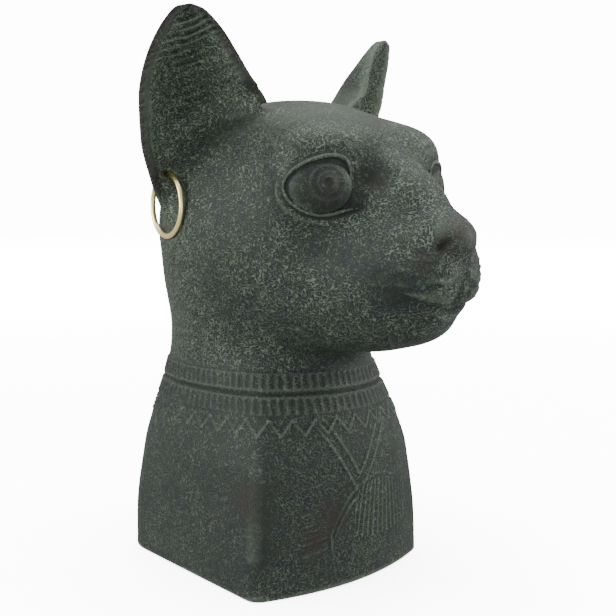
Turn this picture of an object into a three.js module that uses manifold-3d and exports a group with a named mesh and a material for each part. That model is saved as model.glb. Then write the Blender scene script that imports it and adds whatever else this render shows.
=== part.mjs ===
// Cat bust of the ancient Egyptian kind: base, neck, head and ears in one casting, a ring in each ear.
// Millimetres, +Z up. The cat faces -Y and its left side is +X. The origin is the middle of the underside.
import * as THREE from "three";
import { mergeVertices } from "three/addons/utils/BufferGeometryUtils.js";
import Module from "manifold-3d";

const wasm = await Module();
wasm.setup();

// Driving dimensions
const HEIGHT = 190; // underside to ear tips
const FOOT_EDGE = 1.0; // small bevel round the underside
const EAR_WALL = 3.4; // from the back of the ear to the floor of its cup
const EAR_RIM = 3.2; // width of the flat rim round the cup
const COLLAR_RAISE = 0.6; // how far the two collar bands stand out
const COLLAR_GROOVE = 0.7; // half width of the groove between them
const EYE_RIM = 0.8; // radius of the raised line round the eye
const EYE_RISE = 0.4; // how far the eyeball stands out of the face
const MOUTH_GROOVE = 0.8; // radius of the line cut along the mouth
const NOSTRIL = 1.6; // radius of each nostril
const RING_DIAMETER = 23.2; // over the wire
const RING_WIRE = 1.46; // thickness of the wire
const RING_CLEARANCE = 0.35; // between the wire and the hole in the ear
const RING_INSET = 6.8; // from the ear's outer edge to the hole
const RING_TURN = THREE.MathUtils.degToRad(5.5); // the ring's front swings outward

// How finely the faceted solids are drawn
const COLUMNS = 60;
const FACE_DRAW = 0.45; // how far the columns are drawn together at the front
const FACE_ROWS = 1.1; // and the rows on the face
const HEAD_ROWS = 34;
const EAR_ROWS = 15;
const EAR_ARC = 9;
const RING_STEPS = 28;
const RING_SIDES = 6;
const EYE_RIM_STEPS = 24;
const EYE_RIM_SIDES = 5;
const EYE_BALL_STEPS = 14;
const MOUTH_STEPS = 14;
const MOUTH_SIDES = 6;
const MOUTH_END_STEPS = 2;
const NOSTRIL_STEPS = 6;
const HEAD_TRIALS = 110; // points tried up a column before its rows are spaced
const HALVINGS = 18; // of the last step of a ray
const SLIVER = 0.01; // edges shorter than this are closed up when solids are joined or cut
const TOUCHING = 1e-4; // points closer than this are one

// The casting is a free form. It is drawn in parts, 189.5 of them to the height: x to the side,
// f forward and z up, and PART turns them into millimetres.
const PARTS_HIGH = 189.5;
const PART = HEIGHT / PARTS_HIGH;

const { clamp, degToRad } = THREE.MathUtils;

// Base and neck, by height: half width, reach to the front and to the back, and how much of the
// level section is oval. The rest of it has flat flanks, bowed ends and rounded corners.
const TORSO = {
  z: [0, 20, 40, 51, 64, 76, 86, 96, 110],
  halfWidth: [39.1, 40, 39.9, 38.2, 34.9, 33.2, 34, 34.5, 34],
  front: [45.8, 45.8, 46.1, 44.9, 40.6, 36.9, 36.2, 37, 37],
  back: [42.8, 43.5, 43.9, 43.7, 42.7, 42.3, 42.5, 41.9, 40],
  oval: [0.02, 0.14, 0.38, 0.52, 0.7, 0.88, 1, 1, 1],
};
const CHEST_BOW = 8.2;
const BACK_BOW = 2.5;
const CHEST_CORNER = 3.8;
const BACK_CORNER = 12;
const TORSO_TOP = 105;
const TORSO_BLEND = 10;

// Masses of the head: middle (x, f, z), half sizes, tilt up and swing out in degrees, and the
// width of the blend into the masses before it. A paired mass stands on both sides. A power over
// 2 makes a mass blunter than an ellipsoid.
const MASSES = [
  { name: "skull", at: [0, 2.2, 119.2], size: [41.2, 43.1, 44.3], tilt: 1.3, swing: 0, blend: 0 },
  { name: "forehead", at: [0, 32.9, 136.7], size: [30.5, 27, 22.1], tilt: -10.5, swing: 0, blend: 16 },
  { name: "cheek", at: [15, 29.9, 114.2], size: [19.9, 27.6, 27.9], swing: -13, blend: 14, pair: true },
  { name: "jaw", at: [0, 46.8, 97.6], size: [22.8, 30, 18.2], tilt: -1.1, blend: 14, power: 2.4 },
  { name: "muzzle", at: [0, 61, 110], size: [17.9, 25.8, 11.2], tilt: 2.1, blend: 14, power: 2.8 },
  { name: "bridge", at: [0, 59.3, 132.4], size: [11.6, 24.4, 10.7], tilt: -29.6, blend: 10 },
  { name: "brow", at: [17.8, 47.4, 144.8], size: [13.6, 11, 7.5], swing: 25, blend: 9, pair: true },
  { name: "eye", at: [23.8, 46.8, 132.8], size: [12.4, 9.8, 11], swing: 37, blend: 8, pair: true },
  { name: "nose", at: [0, 83.2, 117.2], size: [8.2, 8.2, 6], tilt: -20, blend: 5 },
  { name: "whiskers", at: [4.8, 76.7, 103.5], size: [8.2, 11.6, 9], swing: 8, blend: 7, pair: true },
  { name: "chin", at: [0, 72, 91.6], size: [9, 10, 7], tilt: 6, blend: 6 },
];

// Collar: two bands round the foot of the neck, with a groove between them
const COLLAR_TOP = 72;
const COLLAR_MIDDLE = 65;
const COLLAR_FOOT = 58;

// Eye: a place on the face (x, f, z), how far it faces outward in degrees, half sizes of the
// opening, how far the opening lies outward of that place and leans inward above and below,
// length of the tear line and where round the opening it starts, and the eyeball's half sizes
const EYE = {
  at: [26.2, 55.6, 131.6], facing: 37, behind: 30,
  halfWidth: 10.2, up: 9.3, down: 8.4, shift: 1.2, leanUp: 4.8, leanDown: 2,
  tear: 5, tearTurn: 2.62, ball: [9.3, 4, 7.9], ballShift: 0.4,
};

// Mouth: height of its line in front, rise to its corners, and how far round the muzzle it runs
// in degrees, seen from a point inside the jaw
const MOUTH = { z: 94.3, corner: 3.2, facing: 40, behind: 60 };

// Nostrils, seen from a point inside the nose, and how flat they are
const NOSE = { z: 114.4, facing: 50, behind: 80, flat: 0.75 };

// Ear, by height: outer edge and inner edge of the cup across, how far its rim lies forward, how
// deep the back of the ear lies behind the rim, and how far its inner edge folds forward of that.
// Across and forward are turned out by EAR_TURN.
const EAR_TURN = degToRad(24);
const EAR = {
  z: [118, 128, 135, 148, 162, 168, 175, 181.5, 185.5, 188.3, 189.3],
  outer: [38.8, 43.3, 46, 49.2, 49.9, 49.2, 47.3, 44.4, 41.8, 39, 35],
  inner: [4, 1, 0, 4, 9.8, 15, 19.2, 23.4, 27, 30.6, 34],
  rim: [16.4, 17, 18.6, 20.2, 22.6, 24.5, 26.3, 28.6, 30, 31, 31.2],
  depth: [16, 15.2, 14.8, 14.5, 13.9, 12.9, 10.5, 7.6, 6, 4.8, 4.2],
  fold: [5, 5, 6, 7.5, 7.3, 6.3, 4, 1.6, 0.5, 0, 0],
};
const EAR_ARCH = 0.75; // power of the ear's section: lower is squarer
const EAR_RIM_MOST = 0.9; // the rim's largest share of the ear's half width
const EAR_EDGE = 0.6; // thickness of the rim's edge, as a share of the wall
const EAR_TIP = PARTS_HIGH;
const RING_HOLE_Z = 137.2;

// Smooth curve through values given at rising heights, without overshoot
function smoothProfile(heights, values) {
  const rises = values.slice(1).map((v, i) => (v - values[i]) / (heights[i + 1] - heights[i]));
  const slopes = values.map((_, i) => {
    if (i === 0) return rises[0];
    if (i === values.length - 1) return rises[i - 1];
    const product = rises[i - 1] * rises[i];
    return product <= 0 ? 0 : (2 * product) / (rises[i - 1] + rises[i]);
  });
  return (height) => {
    const h = clamp(height, heights[0], heights.at(-1));
    let i = 0;
    while (i < heights.length - 2 && h > heights[i + 1]) i += 1;
    const span = heights[i + 1] - heights[i];
    const t = (h - heights[i]) / span;
    const hold = (1 + 2 * t) * (1 - t) ** 2 * values[i] + t * t * (3 - 2 * t) * values[i + 1];
    return hold + span * (t * (1 - t) ** 2 * slopes[i] - t * t * (1 - t) * slopes[i + 1]);
  };
}

function profiles(table) {
  const keys = Object.keys(table).filter((key) => key !== "z");
  return Object.fromEntries(keys.map((key) => [key, smoothProfile(table.z, table[key])]));
}

const torsoAt = profiles(TORSO);
const earAt = profiles(EAR);

// Lesser of two distances, with the corner where they cross rounded over a width
function smoothMin(a, b, width) {
  const share = clamp(0.5 + (0.5 * (b - a)) / width, 0, 1);
  return b * (1 - share) + a * share - width * share * (1 - share);
}

const smoothStep = (t) => THREE.MathUtils.smoothstep(t, 0, 1);

const TINY = 1e-9; // keeps a division clear of zero

// Signed distance to the base and neck
function torsoDistance(x, f, z) {
  const half = torsoAt.halfWidth(z);
  const reach = f > 0 ? torsoAt.front(z) : torsoAt.back(z);
  const [bow, corner] = f > 0 ? [CHEST_BOW, CHEST_CORNER] : [BACK_BOW, BACK_CORNER];
  const end = Math.abs(f) - reach + bow * (x / half) ** 2;
  const squared = -smoothMin(half - Math.abs(x), -end, corner);
  const oval = Math.hypot(x, f) * (1 - 1 / (Math.hypot(x / half, f / reach) + TINY));
  const side = squared + (oval - squared) * torsoAt.oval(z);
  return -smoothMin(-side, TORSO_TOP - z, TORSO_BLEND);
}

// Signed distance, near enough, to one mass of the head
function massDistance(mass, x, f, z) {
  const { at, size, tilt = 0, swing = 0, power = 2, pair = false } = mass;
  const a = (pair ? Math.hypot(x, 1) : x) - at[0];
  const b = f - at[1];
  const c = z - at[2];
  const [cosSwing, sinSwing] = [Math.cos(degToRad(swing)), Math.sin(degToRad(swing))];
  const [cosTilt, sinTilt] = [Math.cos(degToRad(tilt)), Math.sin(degToRad(tilt))];
  const forward = a * sinSwing + b * cosSwing;
  const side = a * cosSwing - b * sinSwing;
  const local = [side, forward * cosTilt + c * sinTilt, c * cosTilt - forward * sinTilt];
  const shares = local.map((v, i) => Math.abs(v) / size[i]);
  const near = shares.reduce((sum, v) => sum + v ** power, 0) ** (1 / power) + TINY;
  const steep = Math.hypot(...shares.map((v, i) => v ** (power - 1) / size[i])) + TINY;
  return ((near - 1) * near ** (power - 1)) / steep;
}

// Signed distance to the whole casting without its ears
function formDistance(x, f, z) {
  let head = massDistance(MASSES[0], x, f, z);
  for (const mass of MASSES.slice(1)) head = smoothMin(head, massDistance(mass, x, f, z), mass.blend);
  return smoothMin(torsoDistance(x, f, z), head, TORSO_BLEND);
}

// Distance along a ray, from a start inside the form, to where the ray leaves it for good
function rayLength(start, way) {
  const reach = 110;
  const step = 2;
  const at = (t) => formDistance(start[0] + way[0] * t, start[1] + way[1] * t, start[2] + way[2] * t);
  let outside = reach;
  while (outside > step && at(outside - step) > 0) outside -= step;
  let inside = outside - step;
  for (let i = 0; i < HALVINGS; i += 1) {
    const middle = (inside + outside) / 2;
    if (at(middle) > 0) outside = middle;
    else inside = middle;
  }
  return (inside + outside) / 2;
}

function rayEnd(start, way, less = 0) {
  const t = rayLength(start, way) - less;
  return start.map((s, i) => s + way[i] * t);
}

// Angle of a column round the body, from the front, with the columns drawn together at the face
function columnAngle(column) {
  const turn = (column / COLUMNS) * 2 * Math.PI;
  return turn - FACE_DRAW * Math.sin(turn);
}

// Raise of the collar's bands at a height
function collarRaise(z) {
  const raise = COLLAR_RAISE / PART;
  const groove = Math.abs(z - COLLAR_MIDDLE) * PART < COLLAR_GROOVE;
  return z > COLLAR_FOOT && z < COLLAR_TOP && !groove ? raise : 0;
}

// Heights of the level rows up the base and neck, with a pair of rows at each edge of the collar
const BASE_ROWS = [14, 28, 40, 49];
function torsoRows() {
  const edge = 0.3;
  const groove = COLLAR_GROOVE / PART;
  const collar = [
    COLLAR_FOOT - edge, COLLAR_FOOT + edge,
    COLLAR_MIDDLE - groove - edge, COLLAR_MIDDLE - groove + edge,
    COLLAR_MIDDLE + groove - edge, COLLAR_MIDDLE + groove + edge,
    COLLAR_TOP - edge, COLLAR_TOP + edge,
  ];
  return [FOOT_EDGE / PART, ...BASE_ROWS, ...collar];
}

// Ray for the head: its start climbs from the neck to the middle of the head while its way dips,
// deepest under the jaw, and then its way sweeps up over the face to the crown.
const NECK_Z = COLLAR_TOP;
const HEAD_MIDDLE = { f: 18, z: 120 };
const NAPE_DIP = 30;
const JAW_DIP = 55;
const CLIMB_DONE = 0.35;
const SWEEP_FROM = 0.3;
const FACE_FROM = 30;
const FACE_DEEP = 25;
function headRay(share, angle) {
  const climb = smoothStep(Math.min(share / CLIMB_DONE, 1));
  const dip = -degToRad(NAPE_DIP + ((JAW_DIP - NAPE_DIP) * (1 + Math.cos(angle))) / 2);
  const sweep = clamp((share - SWEEP_FROM) / (1 - SWEEP_FROM), 0, 1);
  const rise = Math.min(dip * climb + (Math.PI / 2 - dip) * sweep, Math.PI / 2);
  const start = [0, HEAD_MIDDLE.f * climb, NECK_Z + (HEAD_MIDDLE.z - NECK_Z) * climb];
  const way = [Math.sin(angle) * Math.cos(rise), Math.cos(angle) * Math.cos(rise), Math.sin(rise)];
  return [start, way];
}

// Points up one column of the head, evenly spaced along it but closer together on the face
function headColumn(angle) {
  const fine = [];
  for (let i = 1; i < HEAD_TRIALS; i += 1) fine.push(rayEnd(...headRay(i / HEAD_TRIALS, angle)));
  const along = [0];
  for (let i = 1; i < fine.length; i += 1) {
    const [p, q] = [fine[i - 1], fine[i]];
    const face = 1 + FACE_ROWS * smoothStep(clamp((q[1] - FACE_FROM) / FACE_DEEP, 0, 1));
    along.push(along[i - 1] + face * Math.hypot(q[0] - p[0], q[1] - p[1], q[2] - p[2]));
  }
  const points = [];
  let i = 1;
  for (let row = 1; row <= HEAD_ROWS; row += 1) {
    const goal = (along.at(-1) * row) / (HEAD_ROWS + 1);
    while (along[i] < goal) i += 1;
    const t = (goal - along[i - 1]) / (along[i] - along[i - 1]);
    points.push(fine[i].map((v, k) => fine[i - 1][k] * (1 - t) + v * t));
  }
  return points;
}

// Closed grid of rings, each a list of points in parts, with a pole point before and after them.
// The points of a ring run counter-clockwise seen from above. Returns a geometry in millimetres.
function closedGrid(rings, bottom, top) {
  const width = rings[0].length;
  const points = [bottom, ...rings.flat(), top];
  const faces = [];
  const at = (row, column) => 1 + row * width + (column % width);
  for (let c = 0; c < width; c += 1) {
    faces.push(0, at(0, c + 1), at(0, c));
    for (let r = 0; r < rings.length - 1; r += 1) {
      faces.push(at(r, c), at(r, c + 1), at(r + 1, c + 1));
      faces.push(at(r, c), at(r + 1, c + 1), at(r + 1, c));
    }
    faces.push(points.length - 1, at(rings.length - 1, c), at(rings.length - 1, c + 1));
  }
  const positions = points.flatMap(([x, f, z]) => [x * PART, -f * PART, z * PART]);
  const geometry = new THREE.BufferGeometry();
  geometry.setAttribute("position", new THREE.Float32BufferAttribute(positions, 3));
  geometry.setIndex(faces);
  return geometry;
}

function bodyGeometry() {
  const angles = Array.from({ length: COLUMNS }, (_, c) => columnAngle(c));
  const level = (z, angle, less) => rayEnd([0, 0, z], [Math.sin(angle), Math.cos(angle), 0], less);
  const foot = angles.map((angle) => level(0, angle, FOOT_EDGE / PART));
  const torso = torsoRows().map((z) => angles.map((angle) => level(z, angle, -collarRaise(z))));
  const columns = angles.map(headColumn);
  const head = Array.from({ length: HEAD_ROWS }, (_, r) => columns.map((column) => column[r]));
  const crown = rayEnd([0, HEAD_MIDDLE.f, HEAD_MIDDLE.z], [0, 0, 1]);
  return closedGrid([foot, ...torso, ...head], [0, 0, 0], crown);
}

// Point of an ear from its own across and forward, both in parts
function earPoint(across, forward, z, side) {
  const x = across * Math.cos(EAR_TURN) + forward * Math.sin(EAR_TURN);
  const f = forward * Math.cos(EAR_TURN) - across * Math.sin(EAR_TURN);
  return [side * x, f, z];
}

// Forward of the back and of the cup of the ear, at a share across from -1, the inner edge, to 1
function earWalls(z, share) {
  const half = (earAt.outer(z) - earAt.inner(z)) / 2;
  const bulge = (s) => (1 - Math.min(s * s, 1)) ** EAR_ARCH;
  const rim = Math.min(EAR_RIM / PART / half, EAR_RIM_MOST);
  const rimAt = earAt.rim(z) + earAt.fold(z) * Math.min(share, 0) ** 2;
  const floor = Math.max(earAt.depth(z) - EAR_WALL / PART, 0);
  const edge = Math.min(EAR_WALL / PART, earAt.depth(z)) * EAR_EDGE;
  return {
    across: (earAt.outer(z) + earAt.inner(z)) / 2 + half * share,
    back: rimAt - edge - (earAt.depth(z) - edge) * bulge(share),
    cup: rimAt - floor * bulge(share / (1 - rim)),
  };
}

// One ear: a stack of crescents from inside the head to the tip
function earGeometry(side) {
  const low = EAR.z[0];
  const high = EAR.z.at(-1);
  const rings = [];
  for (let row = 0; row < EAR_ROWS; row += 1) {
    const z = low + (high - low) * Math.sin(((row / (EAR_ROWS - 1)) * Math.PI) / 2);
    const shares = Array.from({ length: EAR_ARC }, (_, i) => -Math.cos((i / (EAR_ARC - 1)) * Math.PI));
    const walls = shares.map((share) => earWalls(z, share));
    const back = walls.map((w) => earPoint(w.across, w.back, z, side));
    const cup = walls.map((w) => earPoint(w.across, w.cup, z, side)).reverse();
    const ring = [...back, ...cup];
    rings.push(side > 0 ? ring.reverse() : ring);
  }
  const mean = (ring, k) => ring.reduce((sum, p) => sum + p[k], 0) / ring.length;
  const middle = (ring, z) => [mean(ring, 0), mean(ring, 1), z];
  return closedGrid(rings, middle(rings[0], low), middle(rings.at(-1), EAR_TIP));
}

// Frame of a ring: its middle hangs straight below the hole in the ear
function ringMiddle(side) {
  const across = earAt.outer(RING_HOLE_Z) - RING_INSET / PART;
  const half = (earAt.outer(RING_HOLE_Z) - earAt.inner(RING_HOLE_Z)) / 2;
  const walls = earWalls(RING_HOLE_Z, 1 - RING_INSET / PART / half);
  const [x, f, z] = earPoint(across, (walls.back + walls.cup) / 2, RING_HOLE_Z, side);
  const radius = (RING_DIAMETER - RING_WIRE) / 2;
  return new THREE.Vector3(x * PART, -f * PART, z * PART - radius);
}

// The ring itself, or with more thickness the channel that it needs through the ear
function ringGeometry(side, more = 0) {
  const radius = (RING_DIAMETER - RING_WIRE) / 2;
  const ring = new THREE.TorusGeometry(radius, RING_WIRE / 2 + more, RING_SIDES, RING_STEPS);
  ring.rotateX(Math.PI / 2);
  ring.rotateZ(Math.PI / 2 + side * RING_TURN);
  const middle = ringMiddle(side);
  return ring.translate(middle.x, middle.y, middle.z);
}

// Where a ray that starts inside the head and points outward by an angle leaves the face
function facePoint(from, facing, side) {
  const end = rayEnd(from, [Math.sin(facing), Math.cos(facing), 0]);
  return [side * end[0], end[1], end[2]];
}

// Edge of the eye's opening at an angle round it: an oval leaned inward towards its top, with the
// tear line drawn out at its inner lower corner
const TEAR_NARROW = 14;
const TEAR_DROP = 0.2;
function eyeOutline(angle) {
  const top = Math.sin(angle) > 0;
  const height = (top ? EYE.up : EYE.down) * Math.sin(angle);
  const lean = (top ? EYE.leanUp : EYE.leanDown) * Math.sin(angle) ** 2;
  const tear = EYE.tear * Math.max(0, Math.cos(angle + EYE.tearTurn)) ** TEAR_NARROW;
  return [EYE.halfWidth * Math.cos(angle) + EYE.shift - lean - tear, height - TEAR_DROP * tear];
}

function eyePoint(across, up, side) {
  const facing = degToRad(EYE.facing);
  const x = EYE.at[0] - EYE.behind * Math.sin(facing) + across * Math.cos(facing);
  const f = EYE.at[1] - EYE.behind * Math.cos(facing) - across * Math.sin(facing);
  return facePoint([x, f, EYE.at[2] + up], facing, side);
}

// Raised line round an eye: a closed tube that follows the face
function eyeRimGeometry(side) {
  const facing = degToRad(EYE.facing);
  const hoop = EYE.halfWidth;
  const tube = new THREE.TorusGeometry(hoop, EYE_RIM, EYE_RIM_SIDES, EYE_RIM_STEPS);
  const position = tube.attributes.position;
  for (let i = 0; i < position.count; i += 1) {
    const turn = Math.atan2(position.getY(i), position.getX(i));
    const wide = Math.hypot(position.getX(i), position.getY(i)) - hoop;
    const [x, f, z] = eyePoint(...eyeOutline(turn), side);
    const proud = position.getZ(i);
    const level = proud * Math.cos(facing) - wide * Math.cos(turn) * Math.sin(facing);
    const out = proud * Math.sin(facing) + wide * Math.cos(turn) * Math.cos(facing);
    position.setXYZ(i, x * PART + side * out, -f * PART - level, z * PART + wide * Math.sin(turn));
  }
  return side > 0 ? tube : flipped(tube);
}

// The same geometry with its faces turned over
function flipped(geometry) {
  const { array } = geometry.index;
  for (let i = 0; i < array.length; i += 3) [array[i], array[i + 1]] = [array[i + 1], array[i]];
  return geometry;
}

// Low dome of an eyeball
function eyeBallGeometry(side) {
  const facing = degToRad(EYE.facing);
  const [x, f, z] = eyePoint(EYE.ballShift, 0, side);
  const ball = new THREE.SphereGeometry(PART, EYE_BALL_STEPS, EYE_BALL_STEPS / 2 + 1);
  ball.scale(EYE.ball[0], EYE.ball[1], EYE.ball[2]);
  ball.rotateZ(side * facing);
  const back = EYE.ball[1] * PART - EYE_RISE;
  const [inward, backward] = [back * Math.sin(facing), back * Math.cos(facing)];
  return ball.translate(x * PART - side * inward, -f * PART + backward, z * PART);
}

// Line of the mouth: a capsule bent along the face from one corner of the mouth to the other
function mouthGeometry() {
  const line = new THREE.CapsuleGeometry(MOUTH_GROOVE, 1, MOUTH_END_STEPS, MOUTH_SIDES, MOUTH_STEPS);
  const position = line.attributes.position;
  for (let i = 0; i < position.count; i += 1) {
    const along = clamp(2 * position.getY(i), -1, 1);
    const past = position.getY(i) - along / 2;
    const turned = degToRad(MOUTH.facing * along);
    const up = MOUTH.corner * Math.abs(Math.sin((Math.PI / 2) * along));
    const [x, f, z] = facePoint([0, MOUTH.behind, MOUTH.z + up], turned, 1);
    const out = position.getX(i);
    position.setXYZ(
      i,
      x * PART + out * Math.sin(turned) + past * Math.cos(turned),
      -f * PART - out * Math.cos(turned) + past * Math.sin(turned),
      z * PART + position.getZ(i),
    );
  }
  return line;
}

function nostrilGeometry(side) {
  const [x, f, z] = facePoint([0, NOSE.behind, NOSE.z], degToRad(NOSE.facing), side);
  const pit = new THREE.SphereGeometry(NOSTRIL, NOSTRIL_STEPS + 2, NOSTRIL_STEPS);
  pit.scale(1, 1, NOSE.flat);
  return pit.translate(x * PART, -f * PART, z * PART);
}

// Manifold solid of a closed geometry, and back
function solidOf(geometry) {
  const bare = geometry.clone();
  bare.deleteAttribute("normal");
  bare.deleteAttribute("uv");
  const merged = mergeVertices(bare, TOUCHING);
  const vertProperties = new Float32Array(merged.attributes.position.array);
  const triVerts = new Uint32Array(merged.index.array);
  return new wasm.Manifold(new wasm.Mesh({ numProp: 3, vertProperties, triVerts, tolerance: SLIVER }));
}

function geometryOf(solid) {
  const { vertProperties, triVerts } = solid.getMesh();
  const geometry = new THREE.BufferGeometry();
  geometry.setAttribute("position", new THREE.BufferAttribute(new Float32Array(vertProperties), 3));
  geometry.setIndex(new THREE.BufferAttribute(new Uint32Array(triVerts), 1));
  geometry.computeVertexNormals();
  return geometry;
}

function bustGeometry() {
  let bust = solidOf(bodyGeometry());
  for (const side of [1, -1]) {
    bust = bust.add(solidOf(earGeometry(side)));
    bust = bust.add(solidOf(eyeBallGeometry(side)));
    bust = bust.add(solidOf(eyeRimGeometry(side)));
    bust = bust.subtract(solidOf(nostrilGeometry(side)));
    bust = bust.subtract(solidOf(ringGeometry(side, RING_CLEARANCE)));
  }
  bust = bust.subtract(solidOf(mouthGeometry()));
  return geometryOf(bust);
}

function piece(name, geometry, material) {
  const mesh = new THREE.Mesh(geometry, material);
  mesh.name = name;
  return mesh;
}

const patina = new THREE.MeshStandardMaterial({ color: 0x3f4743, roughness: 0.55, metalness: 0.35 });
const brass = new THREE.MeshStandardMaterial({ color: 0xb9a76e, roughness: 0.3, metalness: 1 });

const catBust = new THREE.Group();
catBust.add(piece("cat_bust", bustGeometry(), patina));
catBust.add(piece("earring_right", ringGeometry(-1), brass));
catBust.add(piece("earring_left", ringGeometry(1), brass.clone()));

export default catBust;
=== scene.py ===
"""Cat bust of the ancient Egyptian kind, in dark green patina with a thin gold ring in each ear."""
from math import cos, pi, radians, sin

import bmesh
import bpy
import numpy as np
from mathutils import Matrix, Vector


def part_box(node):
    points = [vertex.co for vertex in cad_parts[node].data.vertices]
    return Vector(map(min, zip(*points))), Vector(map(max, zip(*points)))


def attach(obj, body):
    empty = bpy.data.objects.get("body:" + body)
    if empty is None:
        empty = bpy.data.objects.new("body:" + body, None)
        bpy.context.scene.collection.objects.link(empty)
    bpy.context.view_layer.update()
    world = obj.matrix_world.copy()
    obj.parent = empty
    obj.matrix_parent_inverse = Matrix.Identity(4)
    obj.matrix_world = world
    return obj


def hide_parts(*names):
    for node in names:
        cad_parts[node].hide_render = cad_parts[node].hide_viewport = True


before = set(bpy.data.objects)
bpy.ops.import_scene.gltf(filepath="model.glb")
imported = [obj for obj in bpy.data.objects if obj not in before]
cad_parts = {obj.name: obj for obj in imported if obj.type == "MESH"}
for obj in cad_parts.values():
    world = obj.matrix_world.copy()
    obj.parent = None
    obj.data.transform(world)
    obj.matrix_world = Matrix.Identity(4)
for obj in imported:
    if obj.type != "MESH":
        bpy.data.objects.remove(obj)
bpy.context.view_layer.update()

# The casting is a free form, drawn in parts: x to the side, f forward and z up, 189.5 of them to
# the height of the figure. PART turns them into metres.
PARTS_HIGH = 189.5
LOW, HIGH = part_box("cat_bust")
HEIGHT = HIGH[2] - LOW[2]
PART = HEIGHT / PARTS_HIGH
MM = 0.001

# Small sizes in metres
FOOT_EDGE = 1.0 * MM
EAR_WALL, EAR_RIM = 3.4 * MM, 3.2 * MM
RING_DIAMETER, RING_WIRE = 22.7 * MM, 1.8 * MM
RING_CLEARANCE, RING_INSET = 0.2 * MM, 6.8 * MM
RING_TURN = radians(5.5)

# Small sizes in parts
COLLAR_RAISE, COLLAR_GROOVE = 0.6, 0.7
EYE_RIM, EYE_RIM_SUNK, EYE_RISE = 0.8, 0.3, 1.1
MOUTH_GROOVE = 0.8

TINY = 1e-9


def smooth_profile(heights, values):
    """Smooth curve through values at rising heights without overshoot: cubic pieces whose slope at
    each value is the harmonic mean of the rises beside it, or level where they differ in sign."""
    heights, values = np.array(heights, float), np.array(values, float)
    rises = np.diff(values) / np.diff(heights)
    before, after = rises[:-1], rises[1:]
    product = before * after
    middle = np.where(product > 0, 2 * product / (before + after + TINY * (before + after == 0)), 0)
    slopes = np.concatenate([rises[:1], middle, rises[-1:]])

    def value(height):
        h = np.clip(height, heights[0], heights[-1])
        i = np.clip(np.searchsorted(heights, h, side="right") - 1, 0, len(heights) - 2)
        span = heights[i + 1] - heights[i]
        t = (h - heights[i]) / span
        hold = (1 + 2 * t) * (1 - t) ** 2 * values[i] + t * t * (3 - 2 * t) * values[i + 1]
        return hold + span * (t * (1 - t) ** 2 * slopes[i] - t * t * (1 - t) * slopes[i + 1])

    return value


def profiles(table):
    """One smooth profile over height for each row of a table."""
    return {key: smooth_profile(table["z"], row) for key, row in table.items() if key != "z"}


# Base and neck by height, and how much of the level section is oval rather than squared
TORSO = profiles({
    "z": [0, 20, 40, 51, 64, 76, 86, 96, 110],
    "half_width": [39.1, 40, 39.9, 38.2, 34.9, 33.2, 34, 34.5, 34],
    "front": [45.8, 45.8, 46.1, 44.9, 40.6, 36.9, 36.2, 37, 37],
    "back": [42.8, 43.5, 43.9, 43.7, 42.7, 42.3, 42.5, 41.9, 40],
    "oval": [0.02, 0.14, 0.38, 0.52, 0.7, 0.88, 1, 1, 1],
})
CHEST_BOW, BACK_BOW = 8.2, 2.5
CHEST_CORNER, BACK_CORNER = 3.8, 12
TORSO_TOP, TORSO_BLEND = 105, 10

# Masses of the head: middle (x, f, z), half sizes, tilt up and swing out in degrees, blend into
# the masses before it, bluntness, and whether it stands on both sides
SKULL = dict(at=(0, 2.2, 119.2), size=(41.2, 43.1, 44.3), tilt=1.3)
MASSES = [
    dict(at=(0, 32.9, 136.7), size=(30.5, 27, 22.1), tilt=-10.5, blend=16),  # forehead
    dict(at=(15, 29.9, 114.2), size=(19.9, 27.6, 27.9), swing=-13, blend=14, pair=True),  # cheeks
    dict(at=(0, 46.8, 97.6), size=(22.8, 30, 18.2), tilt=-1.1, blend=14, power=2.4),  # jaw
    dict(at=(0, 61, 110), size=(17.9, 25.8, 11.2), tilt=2.1, blend=14, power=2.8),  # muzzle
    dict(at=(0, 59.3, 132.4), size=(11.6, 24.4, 10.7), tilt=-29.6, blend=10),  # bridge
    dict(at=(17.8, 47.4, 144.8), size=(13.6, 11, 7.5), swing=25, blend=9, pair=True),  # brows
    dict(at=(23.8, 46.8, 132.8), size=(12.4, 9.8, 11), swing=37, blend=8, pair=True),  # eye beds
    dict(at=(0, 83.2, 117.2), size=(8.2, 8.2, 6), tilt=-20, blend=5),  # nose
    dict(at=(4.8, 76.7, 103.5), size=(8.2, 11.6, 9), swing=8, blend=7, pair=True),  # whisker pads
    dict(at=(0, 72, 91.6), size=(9, 10, 7), tilt=6, blend=6),  # chin
]

# Collar, with its ticks and teeth counted round the whole body
COLLAR_TOP, COLLAR_MIDDLE, COLLAR_FOOT = 72, 65, 58
TICKS, TEETH = 88, 34

# Chest ornament: foot and slope of the straps and half the spacing of their lines, and the wing's
# top, crest, middle of its fan, inner and outer edge, tip and feather pitch
STRAP_FOOT, STRAP_SLOPE, STRAP_HALF = 33.6, 1.6, 1.8
WING = dict(top=36.3, crest=9, middle=12, inner=-2.5, outer=27, tip=12.5, pitch=2.0)

EYE = dict(at=(26.2, 55.6, 131.6), facing=radians(37), behind=30, half_width=10.2, shift=1.2,
           up=9.3, down=8.4, lean_up=4.8, lean_down=2, tear=5, tear_turn=2.62)
EYE_SIN, EYE_COS = sin(EYE["facing"]), cos(EYE["facing"])
EYE_BALL, EYE_BALL_SHIFT = (9.8, 4, 8.3), 0.5
IRIS_AT, IRIS_RING, PUPIL = (-1.9, 1.2), 4.2, 1.6
MOUTH = dict(z=94.3, corner=3.2, facing=radians(40), behind=60)
NOSTRIL = dict(out=7.6, z=114.4, size=1.6)

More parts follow.
